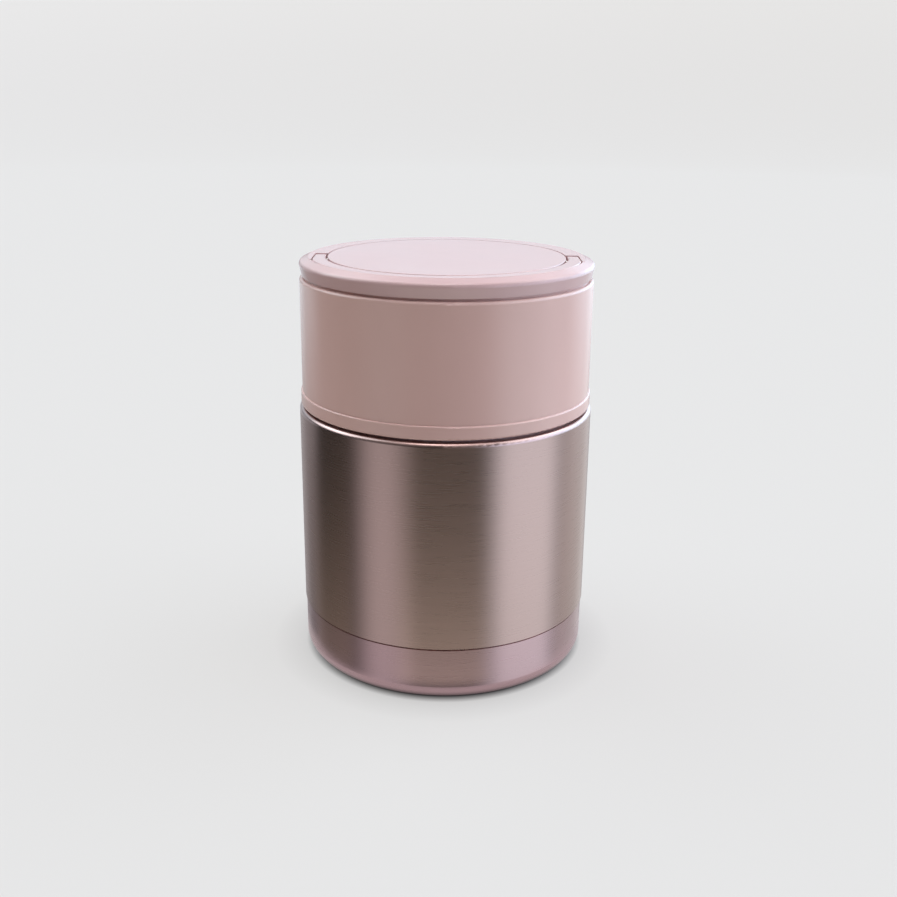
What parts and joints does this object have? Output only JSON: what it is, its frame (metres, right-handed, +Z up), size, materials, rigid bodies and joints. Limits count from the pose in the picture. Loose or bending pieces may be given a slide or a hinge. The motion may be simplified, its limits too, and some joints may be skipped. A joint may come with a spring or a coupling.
{
  "type": "insulated food jar",
  "caption": "Wide-mouth vacuum food jar with a steel body, insulated stopper, screw lid with a spoon tray, and a cap with a flush folding carry handle.",
  "frame": {"origin": "centre of the jar's base, on the surface it stands on", "axes": "+Z up along the jar's axis; -Y is the front, the side the folded handle lies on; +X to the right, along the handle's pivots"},
  "size_m": [0.1046, 0.1046, 0.1453],
  "materials": {
    "brushed_steel_body": "rose-tinted steel, brushed round the body",
    "satin_steel_liner": "satin spun steel",
    "seal_glass": "dark fused glass bead",
    "getter_metal": "pressed matt tablet",
    "stopper_plastic": "pale pink moulded polypropylene",
    "foam": "white insulating foam",
    "silicone": "translucent white silicone",
    "button_plastic": "darker pink moulded plastic",
    "spring_steel": "bright drawn wire",
    "pink_plastic": "dusty pink moulded plastic, satin gloss",
    "liner_plastic": "pale pink moulded plastic",
    "cap_plastic": "dusty pink moulded plastic, satin",
    "handle_plastic": "dusty pink moulded plastic, satin",
    "pin_steel": "bright turned steel",
    "spoon_steel": "polished pressed steel"
  },
  "bodies": {
    "jar": {"outer_shell": "brushed_steel_body", "inner_liner": "satin_steel_liner", "bottom_plate": "satin_steel_liner", "vacuum_seal": "seal_glass", "getter": "getter_metal", "base_cup": "brushed_steel_body"},
    "stopper": {"stopper_body": "stopper_plastic", "stopper_foam": "foam", "stopper_cover": "stopper_plastic", "stopper_gasket": "silicone", "valve_spring": "spring_steel"},
    "valve": {"valve_button": "button_plastic", "valve_disc": "silicone"},
    "lid": {"lid_shell": "pink_plastic", "lid_liner": "liner_plastic", "lid_foam": "foam", "spoon_tray": "liner_plastic"},
    "cap": {"cap_ring": "cap_plastic", "cap_disc": "cap_plastic", "cap_underplate": "liner_plastic", "cap_oring": "silicone", "handle_pin_left": "pin_steel", "handle_pin_right": "pin_steel"},
    "handle": {"carry_handle": "handle_plastic"},
    "spoon": {"spoon_bowl": "spoon_steel", "spoon_rivet": "pin_steel"},
    "spoon_handle": {"spoon_grip": "spoon_steel"}
  },
  "joints": [
    {"name": "lid_lift", "type": "slide", "parent": "jar", "child": "lid", "axis": [0, 0, 1], "range_m": [0, 0.09]},
    {"name": "stopper_lift", "type": "slide", "parent": "jar", "child": "stopper", "axis": [0, 0, 1], "range_m": [0, 0.045]},
    {"name": "valve_press", "type": "slide", "parent": "stopper", "child": "valve", "axis": [0, 0, -1], "range_m": [0, 0.0015], "stiffness_N_per_m": 400, "springref_m": -0.0015, "deforming": ["valve_spring"]},
    {"name": "cap_lift", "type": "slide", "parent": "lid", "child": "cap", "axis": [0, 0, 1], "range_m": [0, 0.12]},
    {"name": "handle_swing", "type": "hinge", "parent": "cap", "child": "handle", "pos_m": [0, 0, 0.14315], "axis": [-1, 0, 0], "range_deg": [0, 90]},
    {"name": "spoon_lift", "type": "slide", "parent": "lid", "child": "spoon", "axis": [0, 0, 1], "range_m": [0, 0.06]},
    {"name": "spoon_unfold", "type": "hinge", "parent": "spoon", "child": "spoon_handle", "pos_m": [0, 0.033, 0.1351], "axis": [0, 0, 1], "range_deg": [0, 180]}
  ],
  "couplings": [
    {"joint": "stopper_lift", "follows": "lid_lift", "ratio": 0.5},
    {"joint": "spoon_lift", "follows": "cap_lift", "ratio": 0.5},
    {"joint": "spoon_unfold", "follows": "cap_lift", "rad_per_m": 26.18}
  ]
}
